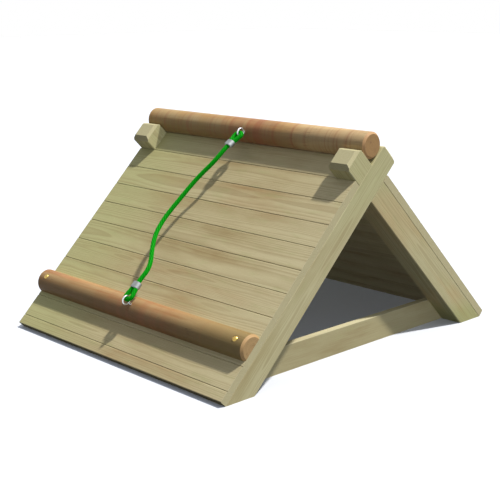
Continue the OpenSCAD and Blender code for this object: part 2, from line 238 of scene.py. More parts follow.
@dataclass(frozen=True)
class Softwood(Pattern):
    """Masks of softwood whose grain runs along X, with its pith on the X axis."""

    label = "softwood grain"
    takes = {"Vector": "Vector", "Ring": "Float", "Wander": "Float", "Seed": "Float"}
    seed_slant: float = 1.7
    warp_stretch: Triple = (0.16, 1.0, 1.0)
    warp_cells: float = 9.0
    late_rise: Span = (0.25, 0.9)
    late_fall: Span = (0.93, 1.0)
    faint_year: float = 0.4
    fibre_cells: Triple = (14.0, 620.0, 620.0)
    patch_cells: Triple = (2.8, 15.0, 15.0)
    patch_rough: float = 0.55
    patch_span: Span = (0.40, 0.72)
    blotch_cells: Triple = (8.0, 34.0, 34.0)
    blotch_span: Span = (0.5, 0.75)
    fine_detail: float = 4.0

    def draw(self, s: Sketch, takes: Sockets) -> Sockets:
        """Draws the year rings, fibres, patches and blotches.

        Args:
            s: The group's sketch.
            takes: Vector, Ring (pitch in metres), Wander (metres) and Seed.

        Returns:
            The masks by name.
        """
        slanted = s.times(takes["Seed"], self.seed_slant)
        seed = s.add("CombineXYZ", {"X": takes["Seed"], "Y": slanted}).outputs[0]
        shifted = s.vector("ADD", takes["Vector"], seed)
        warp = s.noise(s.vector("MULTIPLY", shifted, self.warp_stretch), self.warp_cells)
        drift = s.vector("SUBTRACT", warp.outputs["Color"], (0.5, 0.5, 0.5))
        wander = s.add("VectorMath", {0: drift, "Scale": takes["Wander"]}, operation="SCALE")
        bent = s.vector("ADD", takes["Vector"], wander.outputs["Vector"])
        around = s.vector("LENGTH", s.vector("MULTIPLY", bent, (0.0, 1.0, 1.0)))
        rings = s.math("DIVIDE", around, takes["Ring"])
        phase = s.math("FRACT", rings)
        late = s.times(s.steps(phase, self.late_rise), s.rest(s.steps(phase, self.late_fall)))
        year = s.add("TexWhiteNoise", {"W": s.math("FLOOR", rings)}, noise_dimensions="1D")
        strength = s.from_least(year.outputs["Value"], self.faint_year)
        patch = s.cloud(shifted, self.patch_cells, detail=self.fine_detail, rough=self.patch_rough)
        blotch = s.cloud(shifted, self.blotch_cells, detail=self.fine_detail)
        return {
            "Latewood": s.times(late, strength),
            "Fibre": s.cloud(shifted, self.fibre_cells),
            "Patch": s.steps(patch, self.patch_span),
            "Blotch": s.steps(blotch, self.blotch_span),
        }


@dataclass(frozen=True)
class Knots(Pattern):
    """Masks of sparse round knots on a face."""

    label = "knots"
    takes = {"Vector": "Vector", "Share": "Float"}
    cells: Triple = (4.2, 10.5, 10.5)
    scatter: float = 0.85
    least_size: float = 0.05
    more_size: float = 0.07
    core_span: Span = (0.7, 1.15)
    halo_span: Span = (1.0, 3.2)

    def draw(self, s: Sketch, takes: Sockets) -> Sockets:
        """Draws the knots' cores and the halos around them.

        Args:
            s: The group's sketch.
            takes: Vector and Share, the share of cells that hold a knot.

        Returns:
            The masks by name.
        """
        at = s.vector("MULTIPLY", takes["Vector"], self.cells)
        cells = s.add("TexVoronoi", {"Vector": at, "Scale": 1.0, "Randomness": self.scatter})
        pick = s.add("SeparateColor", {"Color": cells.outputs["Color"]}).outputs
        there = s.math("LESS_THAN", pick["Red"], takes["Share"])
        size = s.math("MULTIPLY_ADD", pick["Green"], self.more_size, self.least_size)
        near = s.math("DIVIDE", cells.outputs["Distance"], size)
        return {
            "Core": s.times(s.rest(s.steps(near, self.core_span)), there),
            "Halo": s.times(s.rest(s.steps(near, self.halo_span)), there),
        }


@dataclass(frozen=True)
class EdgeWear(Pattern):
    """Mask of worn arrises."""

    label = "edge wear"
    takes = {"Vector": "Vector", "Reach": "Float"}
    samples: int = 6
    turn_span: Span = (0.004, 0.10)
    ragged_cells: Triple = (30.0, 160.0, 160.0)
    ragged_span: Span = (0.35, 0.65)
    least: float = 0.4

    def draw(self, s: Sketch, takes: Sockets) -> Sockets:
        """Draws the wear, stronger and weaker along an arris.

        Args:
            s: The group's sketch.
            takes: Vector and Reach, how far the wear comes in from an edge, in metres.

        Returns:
            The mask by name.
        """
        soft = s.add("Bevel", {"Radius": takes["Reach"]}, samples=self.samples).outputs["Normal"]
        hard = s.add("NewGeometry").outputs["Normal"]
        near = s.steps(s.rest(s.vector("DOT_PRODUCT", soft, hard)), self.turn_span)
        ragged = s.steps(s.cloud(takes["Vector"], self.ragged_cells), self.ragged_span)
        return {"Wear": s.times(near, s.from_least(ragged, self.least))}


class Finish:
    """A surface finish that builds one material."""

    name: str

    def paint(self, s: Sketch) -> dict[str, object]:
        """Draws the finish, each kind in its own way, and gives the shader's inputs by name."""
        raise NotImplementedError

    def material(self) -> Material:
        """Builds the material.

        Returns:
            The material.
        """
        made = bpy.data.materials.new(self.name)
        made.use_nodes = True
        made.node_tree.nodes.clear()
        s = Sketch(made.node_tree)
        shader = s.add("BsdfPrincipled", self.paint(s))
        s.add("OutputMaterial", {"Surface": shader.outputs[0]})
        return made

    @staticmethod
    def where(s: Sketch) -> Socket:
        """Gives the object coordinates, which are the shared frame's."""
        return s.add("TexCoord").outputs["Object"]


@dataclass(frozen=True)
class Timber(Finish):
    """Planed, pressure-treated softwood with a faint green tint."""

    name: str
    pith: Triple
    turn: Triple
    seed: float
    pale: Colour = srgb(183, 170, 128)
    tan: Colour = srgb(165, 146, 101)
    green: Colour = srgb(166, 168, 116)
    brown: Colour = srgb(134, 112, 74)
    knot: Colour = srgb(104, 76, 48)
    sawn: Colour = srgb(184, 177, 139)
    # Pale arris colour: wear, together with a painted highlight along the arrises
    worn: Colour = srgb(212, 206, 172)
    fades: Fades = ()
    ring: float = 0.0042
    wander: float = 0.016
    arris: float = 0.004
    knot_share: float = 0.035
    knot_slant: float = 0.3
    green_share: float = 0.4
    late_share: float = 0.38
    fibre_span: Span = (0.32, 0.72)
    fibre_share: float = 0.18
    halo_share: float = 0.35
    core_share: float = 0.6
    end_span: Span = (0.55, 0.75)
    end_share: float = 0.8
    end_late_share: float = 0.3
    wear_and_highlight_share: float = 0.36
    smooth: float = 0.66
    fibre_rough: float = 0.16
    fibre_dip: float = -0.5
    late_rise: float = 0.6
    relief: Span = (0.35, 0.0007)
    gloss: float = 0.2

    @property
    def along(self) -> Triple:
        """Direction of the grain in the shared frame."""
        return tuple(Euler(self.turn).to_matrix() @ Vector(RIGHT))

    def paint(self, s: Sketch) -> dict[str, object]:
        """Draws the wood.

        Args:
            s: The material's sketch.

        Returns:
            The shader's inputs by name.
        """
        where = self.where(s)
        turned = {"Vector": where, "Location": self.pith, "Rotation": self.turn}
        placed = s.add("Mapping", turned, vector_type="TEXTURE").outputs[0]
        sizes = {"Ring": self.ring, "Wander": self.wander, "Seed": self.seed}
        grain = Softwood().use(s, {"Vector": placed, **sizes})
        knot_at = s.vector("ADD", placed, (self.seed, self.knot_slant * self.seed, 0.0))
        knot = Knots().use(s, {"Vector": knot_at, "Share": self.knot_share})
        fibre = s.steps(grain["Fibre"], self.fibre_span)
        face = s.fade(s.mix(grain["Patch"], self.pale, self.tan), where, self.fades)
        face = s.tint(face, grain["Blotch"], self.green_share, self.green)
        face = s.tint(face, grain["Latewood"], self.late_share, self.brown)
        face = s.tint(face, fibre, self.fibre_share, self.brown)
        face = s.tint(face, knot["Halo"], self.halo_share, self.brown)
        face = s.tint(face, knot["Core"], self.core_share, self.knot)
        end = s.tint(self.sawn, grain["Latewood"], self.end_late_share, self.brown)
        whole = s.tint(face, s.steps(s.facing(self.along), self.end_span), self.end_share, end)
        # Wear on the arrises, which also paints a highlight along them
        wear = EdgeWear().use(s, {"Vector": placed, "Reach": self.arris})["Wear"]
        raised = s.times(grain["Latewood"], self.late_rise)
        height = s.math("MULTIPLY_ADD", fibre, self.fibre_dip, raised)
        return {
            "Base Color": s.tint(whole, wear, self.wear_and_highlight_share, self.worn),
            "Roughness": s.math("MULTIPLY_ADD", fibre, self.fibre_rough, self.smooth),
            "Normal": s.bump(height, self.relief),
            "Specular IOR Level": self.gloss,
        }


@dataclass(frozen=True)
class TurnedLog(Finish):
    """Machine-rounded log along X, orange-brown, with faint turning bands and drying checks."""

    name: str
    axis: Triple
    seed: float
    light: Colour = srgb(182, 160, 114)
    warm: Colour = srgb(177, 142, 88)
    red: Colour = srgb(158, 98, 66)
    dark: Colour = srgb(104, 74, 54)
    # Painted shade colour for the log's lower front side
    damp: Colour = srgb(139, 119, 76)
    ring: Colour = srgb(158, 104, 70)
    core: Colour = srgb(158, 125, 80)
    rim: Colour = srgb(180, 138, 94)
    checked: Colour = srgb(70, 46, 28)
    fades: Fades = ()
    year: float = 0.0046
    wander: float = 0.010
    # Warm streaks and rows
    streak_cells: Triple = (1.6, 34.0, 34.0)
    streak_shift: float = 4.0
    streak_span: Span = (0.42, 0.62)
    streak_warmth: float = 0.6
    row_cells: float = 7.0
    row_span: Span = (0.42, 0.60)
    rows: float = 0.6
    patch_warmth: float = 0.4
    warm_share: float = 0.85
    red_streak_span: Span = (0.56, 0.70)
    streaks: float = 0.12
    # Painted shade on the underside
    shade_way: Triple = (0.0, -0.6, -0.8)
    shade_span: Span = (0.002, 0.04)
    shade_share: float = 0.7
    # Red stretch
    red_at: float = 0.03
    red_reach: Span = (0.03, 0.30)
    red_span: Span = (0.4, 0.6)
    red_least: float = 0.4
    red_share: float = 0.8
    # Turning bands
    band_stretch: Triple = (1.0, 0.05, 0.05)
    broad_cells: float = 21.0
    narrow_cells: float = 74.0
    band_span: Span = (0.5, 0.68)
    broad_share: float = 0.7
    narrow_share: float = 0.5
    bands: float = 0.5
    late_share: float = 0.22
    # Sawn ends
    rim_span: Span = (0.4, 0.6)
    rim_share: float = 0.8
    core_span: Span = (0.8, 0.95)
    core_late: float = 0.5
    core_blotch: float = 0.35
    # Drying checks, near the noise's middle value
    check_cells: Triple = (3.0, 95.0, 95.0)
    check_rough: float = 0.4
    check_width: Span = (0.0, 0.006)
    check_patch_cells: float = 5.0
    check_patch_span: Span = (0.5, 0.62)
    check_share: float = 0.55
    fibre_span: Span = (0.3, 0.7)
    fibre_rough: float = 0.14
    smooth: float = 0.5
    fibre_dip: float = -0.3
    relief: Span = (0.4, 0.0008)
    gloss: float = 0.22

    def barrel(self, s: Sketch, where: Socket, placed: Socket, patch: Socket) -> Socket:
        """Draws the round side: warm rows, painted shade on the underside, fades, red stretch and bands.

        Args:
            s: The material's sketch.
            where: The object coordinates.
            placed: The coordinates from the log's axis.
            patch: The grain's patch mask.

        Returns:
            The side's colour.
        """
        streak = s.cloud(placed, self.streak_cells, (self.seed, self.streak_shift, 0.0))
        row = s.cloud(placed, self.band_stretch, (3.0 * self.seed, 0.0, 0.0), self.row_cells, 2.0, 0.5)
        broad = s.cloud(placed, self.band_stretch, (self.seed, 0.0, 0.0), self.broad_cells, 2.0)
        narrow = s.cloud(placed, self.band_stretch, (0.0, self.seed, 0.0), self.narrow_cells, 2.0)
        patches = s.times(patch, self.patch_warmth)
        rows = s.math("MULTIPLY_ADD", s.steps(row, self.row_span), self.rows, patches)
        warmth = s.math("MULTIPLY_ADD", s.steps(streak, self.streak_span), self.streak_warmth, rows)
        ground = s.mix(s.times(warmth, self.warm_share, clamp=True), self.light, self.warm)
        ground = s.tint(ground, s.steps(streak, self.red_streak_span), self.streaks, self.red)
        # Painted shade: darker where the side faces down and to the front
        under = s.steps(s.vector("DOT_PRODUCT", placed, self.shade_way), self.shade_span)
        ground = s.fade(s.tint(ground, under, self.shade_share, self.damp), where, self.fades)
        along = s.add("SeparateXYZ", {"Vector": placed}).outputs["X"]
        off = s.math("ABSOLUTE", s.math("SUBTRACT", along, self.red_at))
        ragged = s.from_least(s.steps(broad, self.red_span), self.red_least)
        reddened = s.times(s.rest(s.steps(off, self.red_reach)), ragged)
        ground = s.tint(ground, reddened, self.red_share, self.red)
        fine = s.times(s.steps(narrow, self.band_span), self.narrow_share)
        rings = s.math("MULTIPLY_ADD", s.steps(broad, self.band_span), self.broad_share, fine)
        return s.mix(s.times(rings, self.bands, clamp=True), ground, self.ring)

    def paint(self, s: Sketch) -> dict[str, object]:
        """Draws the log.

        Args:
            s: The material's sketch.

        Returns:
            The shader's inputs by name.
        """
        where = self.where(s)
        centred = {"Vector": where, "Location": self.axis}
        placed = s.add("Mapping", centred, vector_type="TEXTURE").outputs[0]
        sizes = {"Ring": self.year, "Wander": self.wander, "Seed": self.seed}
        grain = Softwood().use(s, {"Vector": placed, **sizes})
        side = self.barrel(s, where, placed, grain["Patch"])
        side = s.tint(side, grain["Latewood"], self.late_share, self.dark)
        facing = s.facing(RIGHT)
        side = s.tint(side, s.steps(facing, self.rim_span), self.rim_share, self.rim)
        blotches = s.times(grain["Blotch"], self.core_blotch)
        rays = s.math("MULTIPLY_ADD", grain["Latewood"], self.core_late, blotches)
        end = s.mix(rays, self.core, self.dark)
        whole = s.mix(s.steps(facing, self.core_span), side, end)
        shift = (2.0 * self.seed, 0.0, 0.0)
        check = s.cloud(placed, self.check_cells, shift, detail=1.0, rough=self.check_rough)
        off = s.math("ABSOLUTE", s.math("SUBTRACT", check, 0.5))
        some = s.steps(s.noise(placed, self.check_patch_cells, 1.0).outputs["Fac"], self.check_patch_span)
        crack = s.times(s.rest(s.steps(off, self.check_width)), some)
        fibre = s.steps(grain["Fibre"], self.fibre_span)
        height = s.math("SUBTRACT", s.times(fibre, self.fibre_dip), crack)
        return {
            "Base Color": s.tint(whole, crack, self.check_share, self.checked),
            "Roughness": s.math("MULTIPLY_ADD", fibre, self.fibre_rough, self.smooth),
            "Normal": s.bump(height, self.relief),
            "Specular IOR Level": self.gloss,
        }


@dataclass(frozen=True)
class Metal(Finish):
    """Plated or pressed metal with slightly uneven polish."""

    name: str
    colour: Colour
    stain: Colour
    rough: float = 0.28
    spread: float = 0.18
    speckle: float = 240.0
    coarser: float = 6.0
    stain_span: Span = (0.45, 0.7)
    stain_share: float = 0.55
    relief: Span = (0.12, 0.0002)

    def paint(self, s: Sketch) -> dict[str, object]:
        """Draws the metal.

        Args:
            s: The material's sketch.

        Returns:
            The shader's inputs by name.
        """
        where = self.where(s)
        mottle = s.noise(where, self.speckle, 3.0, 0.6).outputs["Fac"]
        dull = s.steps(s.noise(where, self.speckle / self.coarser).outputs["Fac"], self.stain_span)
        return {
            "Base Color": s.tint(self.colour, dull, self.stain_share, self.stain),
            "Roughness": s.math("MULTIPLY_ADD", mottle, self.spread, self.rough),
            "Normal": s.bump(mottle, self.relief),
            "Metallic": 1.0,
        }


@dataclass(frozen=True)
class RopeCover(Finish):
    """Bright synthetic yarns twisted into strands, read from the rope's own UV map.

    The map's first value counts strands round the rope, and its second one is metres along it.
    """

    name: str = "rope cover"
    colour: Colour = srgb(2, 166, 12)
    # Painted shade colour for the gaps between yarns and the grooves between strands
    deep: Colour = srgb(0, 112, 8)
    worn: Colour = srgb(14, 176, 14)
    yarns_per_strand: float = 7.0
    yarns_per_metre: float = 520.0
    yarn_span: Span = (0.0, 0.35)
    crown_span: Span = (0.02, 0.30)
    fluff_cells: Triple = (14.0, 900.0, 1.0)
    fluff_rough: float = 0.7
    worn_span: Span = (0.55, 0.8)
    worn_share: float = 0.3
    smooth: float = 0.42
    fluff_roughens: float = 0.2
    yarn_rise: float = 0.8
    fluff_rise: float = 0.3
    relief: Span = (0.5, 0.0005)
    gloss: float = 0.06

    def paint(self, s: Sketch) -> dict[str, object]:
        """Draws the yarns.

        Args:
            s: The material's sketch.

        Returns:
            The shader's inputs by name.
        """
        uv = s.add("UVMap", uv_map="lay").outputs[0]
        parts = s.add("SeparateXYZ", {"Vector": uv}).outputs
        run = s.times(parts["Y"], self.yarns_per_metre)
        slant = s.math("MULTIPLY_ADD", parts["X"], self.yarns_per_strand, run)
        yarn = s.steps(s.math("PINGPONG", slant, 0.5), self.yarn_span)
        crown = s.steps(s.math("PINGPONG", parts["X"], 0.5), self.crown_span)
        # Painted shade: darker between the yarns and in the grooves between strands
        shaded = s.mix(s.times(yarn, crown), self.deep, self.colour)
        fluff = s.cloud(uv, self.fluff_cells, rough=self.fluff_rough)
        bare = s.times(crown, self.worn_share)
        rubbed = s.times(s.steps(fluff, self.worn_span), bare)
        height = s.math("MULTIPLY_ADD", yarn, self.yarn_rise, s.times(fluff, self.fluff_rise))
        return {
            "Base Color": s.mix(rubbed, shaded, self.worn),
            "Roughness": s.math("MULTIPLY_ADD", fluff, self.fluff_roughens, self.smooth),
            "Normal": s.bump(height, self.relief),
            "Specular IOR Level": self.gloss,
        }


class Plating(Enum):
    """The metals of the fittings."""

    ZINC = Metal("bright zinc", srgb(214, 217, 220), srgb(168, 172, 178))
    YELLOW = Metal("yellow zinc", srgb(196, 166, 92), srgb(146, 112, 52), 0.24)
    DULL = Metal("galvanised", srgb(170, 173, 176), srgb(120, 122, 126), 0.42)
    ALLOY = Metal("pressed alloy", srgb(152, 157, 158), srgb(126, 130, 132), 0.46, 0.2, 320.0)


def dress(node: str, material: Material) -> None:
    """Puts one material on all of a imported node's slots.

    Args:
        node: The node's name.
        material: The material.
    """
    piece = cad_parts[node]
    if not piece.material_slots:
        piece.data.materials.append(material)
    for held in piece.material_slots:
        held.material = material
    log.info("%s wears %s", node, material.name)


class Face(Enum):
    """The two sides of the ramp, with the sign of Y on each."""

    FRONT = -1
    BACK = 1

    @property
    def label(self) -> str:
        """The word that the nodes' names start with."""
        return self.name.lower()

    @property
    def down(self) -> Triple:
        """Direction down this side's slope."""
        return (0.0, self.value * LEAN, -LEAN)


@dataclass
class Frames:
    """The two half-lapped frames: four posts and the ties on the floor."""

    sides: dict[str, int] = field(default_factory=lambda: {"left": -1, "right": 1})
    # Middle of the posts and ties, and the pith's place beside it
    post_x: float = 0.576
    tie_x: float = 0.512
    pith_beside: Span = (0.012, 0.009)
    tie_pith_z: float = -0.02
    post_wander: float = 0.02
    post_pale: Colour = srgb(188, 182, 142)
    post_green: Colour = srgb(172, 172, 124)
    front_tan: Colour = srgb(172, 162, 120)
    back_tan: Colour = srgb(185, 167, 122)
    front_fades: Fades = (Fade(UP, 0.42, 0.66, srgb(182, 181, 136), 0.75),)
    back_fades: Fades = (
        Fade(UP, 0.30, 0.52, srgb(186, 167, 122), 0.55),
        Fade(UP, 0.56, 0.68, srgb(182, 181, 136), 0.85),
        Fade(DOWN, -0.13, -0.03, srgb(158, 164, 104), 0.6),
    )
    side_seed: float = 3.1
    back_seed: float = 1.3
    tie_pale: Colour = srgb(177, 169, 130)
    tie_tan: Colour = srgb(160, 147, 107)
    tie_seed: float = 7.7
    tie_fades: Fades = (
        Fade(FRONT, 0.2, 0.6, srgb(186, 178, 138), 0.6),
        # Painted light: the ties' top faces paler, as if sunlit
        Fade(UP, 0.098, 0.0999, srgb(206, 199, 162), 0.75),
    )

    def dress(self) -> None:
        """Dresses the posts and ties, each with its own grain."""
        inwards, across = self.pith_beside
        for number, (side, sign) in enumerate(self.sides.items()):
            for face in Face:
                back = face is Face.BACK
                post = Timber(
                    f"post {face.label} {side}",
                    pith=(sign * self.post_x + inwards, across, LAP_Z),
                    turn=(0.0, SLOPE, face.value * math.pi / 2),
                    seed=self.side_seed * number + (self.back_seed if back else 0.0),
                    pale=self.post_pale,
                    tan=self.back_tan if back else self.front_tan,
                    green=self.post_green,
                    fades=self.back_fades if back else self.front_fades,
                    wander=self.post_wander,
                )
                dress(f"{face.label}_post_{side}", post.material())
            tie = Timber(
                f"tie {side}",
                pith=(sign * self.tie_x, 0.0, self.tie_pith_z),
                turn=(0.0, 0.0, math.pi / 2),
                seed=self.tie_seed + number,
                pale=self.tie_pale,
                tan=self.tie_tan,
                fades=self.tie_fades,
            )
            dress(f"tie_{side}", tie.material())


@dataclass
class Decking:
    """The tongue-and-groove boards of both faces, measured down the slope from the lap."""

    count: int = 10
    cover: float = 0.09955
    first: float = 0.0496
    # Middle of the boards' thickness, out from the posts' centre lines
    middle: float = 0.064
    end: float = 0.98733
    # Depth of the piths, and how far they wander from board to board
    pith_depth: float = 0.045
    pith_wander: float = 0.03
    pale: Colour = srgb(181, 168, 127)
    fades: Fades = (
        Fade(LEFT, 0.0, 0.55, srgb(177, 178, 125), 0.8),
        Fade(RIGHT, 0.25, 0.6, srgb(196, 187, 148), 0.7),
    )
    # Painted highlight on the lower part of each board, where its cup stands proud, as shares of its width
    bleached_span: Span = (0.15, 0.8)
    bleached_colour: Colour = srgb(202, 192, 152)
    bleached_share: float = 0.42
    # Painted shade at the lower end of the last board, as distances above that end
    shade_span: Span = (0.0016, 0.0002)
    shade_colour: Colour = srgb(62, 62, 42)
    shade_share: float = 0.9
    seed_step: float = 1.9
    back_seed: float = 0.77
    ring: float = 0.0036
    ring_step: float = 0.0012
    wander: float = 0.012
    wander_step: float = 0.004

    def pith(self, face: Face, number: int) -> Triple:
        """Finds where a board's tree had its middle.

        Args:
            face: The board's side of the ramp.
            number: The board, counted from the ridge.

        Returns:
            A point of the pith's line, outside the board or in it.
        """
        way = face.value
        down = self.first + (number - 0.5) * self.cover + self.pith_wander * math.sin(5.3 * number + way)
        deep = self.middle - self.pith_depth - self.pith_wander * math.sin(2.1 * number + 2 * way)
        spot = face_point(down, deep)
        return (0.0, -way * spot.y, spot.z)

    def tan(self, face: Face, number: int) -> Colour:
        """Gives a board's darker colour, warmer on some than on others."""
        warmth = 0.5 + 0.5 * math.sin(4.7 * number + face.value)
        return srgb(round(157 + 8 * warmth), round(141 - 3 * warmth), round(99 - 3 * warmth))

    def bleached(self, face: Face, number: int) -> Fade:
        """Gives the painted highlight on the lower part of each board, where its cup stands proud.

        Args:
            face: The board's side of the ramp.
            number: The board, counted from the ridge.

        Returns:
            The painted highlight as a fade down the slope.
        """
        top = self.first + (number - 1) * self.cover - LEAN * LAP_Z
        start, full = (top + share * self.cover for share in self.bleached_span)
        return Fade(face.down, start, full, self.bleached_colour, self.bleached_share)

    def painted_shade_edge(self, face: Face) -> Fade:
        """Gives the painted shade at the lower end of the lowest board, by the floor."""
        start, full = (self.end - LEAN * LAP_Z - depth for depth in self.shade_span)
        return Fade(face.down, start, full, self.shade_colour, self.shade_share)

    def dress(self) -> None:
        """Dresses each board with a grain of its own."""
        for face in Face:
            names = [f"{face.label}_ridge_board"]
            names += [f"{face.label}_board_{n}" for n in range(1, self.count + 1)]
            for number, node in enumerate(names):
                # Each board takes the painted highlight on its lower part
                fades = (self.bleached(face, number), *self.fades)
                wood = Timber(
                    node.replace("_", " "),
                    pith=self.pith(face, number),
                    turn=(-face.value * SLOPE, 0.0, 0.0),
                    seed=self.seed_step * number + (self.back_seed if face is Face.BACK else 0.0),
                    pale=self.pale,
                    tan=self.tan(face, number),
                    # The lowest board also takes the painted shade at its lower end
                    fades=(*fades, self.painted_shade_edge(face)) if number == self.count else fades,
                    ring=self.ring + self.ring_step * (number % 3),
                    wander=self.wander + self.wander_step * (number % 4),
                )
                dress(node, wood.material())


@dataclass
class Logs:
    """The ridge log and the half-round foot rail."""

    ridge_z: float = 0.804
    rail_down: float = 0.7773
    rail_out: float = 0.0825
    ridge_end: Fade = Fade(RIGHT, 0.12, 0.38, srgb(218, 190, 146), 0.42)
    rail_end: Fade = Fade(RIGHT, 0.15, 0.6, srgb(128, 112, 68), 0.75)

    def dress(self) -> None:
        """Dresses both logs about their own axes, the rail darker and with hardly any bands."""
        axis = (0.0, 0.0, self.ridge_z)
        ridge = TurnedLog("ridge log", axis, seed=2.0, bands=0.75, fades=(self.ridge_end,))
        dress("ridge_log", ridge.material())
        rail = TurnedLog(
            "foot rail",
            axis=tuple(face_point(self.rail_down, self.rail_out)),
            seed=5.0,
            light=srgb(180, 150, 105),
            warm=srgb(156, 107, 60),
            dark=srgb(98, 75, 40),
            # Painted shade on the rail's lower front half: the colour below, with the span and share
            # further down
            damp=srgb(98, 75, 40),
            core=srgb(172, 142, 98),
            rim=srgb(184, 148, 102),
            fades=(self.rail_end,),
            shade_span=(-0.043, 0.04),
            shade_share=0.78,
            bands=0.12,
            rows=0.15,
            streaks=0.3,
            red_share=0.4,
        )
        dress("foot_rail", rail.material())


@dataclass
class Fixings:
    """Bolts, nuts, washers, screws and nails."""

    platings: dict[Plating, Sequence[str]] = field(
        default_factory=lambda: {
            Plating.YELLOW: ("rail_bolts",),
            Plating.ZINC: (
                "ridge_eye", "ridge_eye_washer", "ridge_eye_nut", "rail_eye", "rail_eye_washer",
                "rail_eye_nut", "rail_washers", "rail_nuts",
            ),
            Plating.DULL: ("lap_screws", "ridge_screws", "tie_screws", "front_nails", "back_nails"),
        }
    )

    def dress(self) -> None:
        """Dresses every fixing in its plating."""
        for plating, nodes in self.platings.items():
            made = plating.value.material()
            for node in nodes:
                dress(node, made)


@dataclass
class Rope:
    """The climbing rope: free stretch, spliced eyes and ferrules.

    A point of the route is millimetres to the right, the share of the free length from the upper
    ferrule, and millimetres away from the boards.
    """

    radius: float = 0.009
    top_eye: Vector = field(default_factory=lambda: Vector((0.0, -0.07, 0.804007)))
    low_eye: Vector = field(default_factory=lambda: Vector((0.0, -0.662792, 0.227482)))
    ring: float = 0.016
    turn: float = math.radians(7.5)
    lean: float = math.radians(6.0)
    start: float = 0.081
    lead: float = 0.013
    path_step: float = 0.004
    strands: int = 6
    points_per_strand: int = 8
    lay: float = 0.105
    groove: float = 0.0017
    groove_round: float = 0.97
    smooth_angle: float = math.radians(50)
    loop_radius: float = 0.0165
    loop_at: float = 0.0196
    loop_end: float = 0.055
    strand_off: float = 0.0095
    leg_steps: int = 8
    bow_steps: int = 24
    route: Sequence[Triple] = (
        (-9, 0.03, 12.5), (-12.5, 0.065, 12.5), (-18.5, 0.105, 11.5), (-29, 0.15, 9.5),
        (-43.5, 0.2, 7.5), (-56, 0.25, 5.5), (-66, 0.3, 3.5), (-73.5, 0.35, 2), (-80, 0.4, 0.5),
        (-85.5, 0.45, 0), (-90.5, 0.5, -0.5), (-92.5, 0.55, 0), (-90.5, 0.6, 0.5), (-83.5, 0.65, 2),
        (-71.5, 0.7, 2.5), (-54, 0.75, 2.5), (-33, 0.8, 1.5), (-14.5, 0.845, -0.5),
        (-2.5, 0.885, -1.5), (1.5, 0.92, -1.5), (1.5, 0.95, -0.5), (0.5, 0.977, 0),
    )

    @property
    def line(self) -> Vector:
        """Direction from the upper eye to the lower one."""
        return (self.low_eye - self.top_eye).normalized()

    @property
    def outwards(self) -> Vector:
        """Direction square to the line of the eyes, away from the boards."""
        return self.line.cross(Vector(RIGHT))

    @property
    def spoke(self) -> Vector:
        """Direction from the middle of the upper ring to the wire that the rope holds."""
        return self.line * math.cos(self.turn) + self.outwards * math.sin(self.turn)

    @property
    def top_way(self) -> Vector:
        """Direction in which the rope leaves the upper ring."""
        return self.spoke * math.cos(self.lean) - Vector(RIGHT) * math.sin(self.lean)

    def free_path(self) -> list[Vector]:
        """Lays a smooth line through the route's points.

        Returns:
            Points about 4 mm apart, from the upper ferrule to the lower one.
        """
        free = (self.low_eye - self.top_eye).length - 2 * self.start
        bow = [
            self.top_eye
            + Vector((x / 1000, 0, 0))
            + self.line * (self.start + share * free)
            + self.outwards * (out / 1000)
            for x, share, out in self.route
        ]
        first = self.top_eye + self.spoke * self.ring + self.top_way * (self.start - self.ring)
        last = self.low_eye - self.line * self.start
        before = first - self.top_way * self.lead
        beyond = last + self.line * self.lead
        ends = [before, first, *bow, last, beyond]
        path: list[Vector] = []
        for a, b, c, d in zip(ends, ends[1:], ends[2:], ends[3:]):
            steps = max(2, round((c - b).length / self.path_step))
            path += [self.between(a, b, c, d, i / steps) for i in range(steps)]
        return path + [last]

    @staticmethod
    def between(a: Vector, b: Vector, c: Vector, d: Vector, t: float) -> Vector:
        """Gives a point between b and c on a smooth curve through a, b, c and d.

        Args:
            a: The point before b.
            b: Start of the stretch.
            c: End of the stretch.
            d: The point after c.
            t: Share of the way from b to c.

        Returns:
            The point.
        """
        full = (c - b).length
        first = (c - a) * (full / ((c - b).length + (b - a).length))
        last = (d - b) * (full / ((d - c).length + (c - b).length))
        at_b = b * (2 * t**3 - 3 * t**2 + 1) + first * (t**3 - 2 * t**2 + t)
        return at_b + c * (3 * t**2 - 2 * t**3) + last * (t**3 - t**2)

    def loop_path(self, wire: Vector, away: Vector) -> list[Vector]:
        """Lays the line of a spliced eye: down one leg, round the wire and up the other.

        Args:
            wire: The middle of the ring's wire inside the eye.
            away: Direction from there towards the ferrule.

        Returns:
            Points about 3 mm apart.
        """
        rise = self.loop_end - self.loop_at
        far = math.hypot(self.strand_off, rise)
        lean = math.asin(self.loop_radius / far) - math.atan2(self.strand_off, rise)
        turn_from = math.pi - lean
        turn_to = 2 * math.pi + lean
        tip = Vector((math.cos(turn_from), math.sin(turn_from))) * self.loop_radius
        tip += Vector((0.0, self.loop_at))
        top = Vector((-self.strand_off, self.loop_end))
        leg = [top.lerp(tip, i / self.leg_steps) for i in range(self.leg_steps)]
        bow: list[Vector] = []
        for i in range(self.bow_steps + 1):
            turn = turn_from + (turn_to - turn_from) * i / self.bow_steps
            spot = Vector((math.cos(turn), math.sin(turn))) * self.loop_radius
            bow.append(spot + Vector((0.0, self.loop_at)))
        back = [Vector((-spot.x, spot.y)) for spot in reversed(leg)]
        across = (Vector(RIGHT) - away * away.x).normalized()
        return [wire + across * x + away * (z - self.ring) for x, z in (*leg, *bow, *back)]

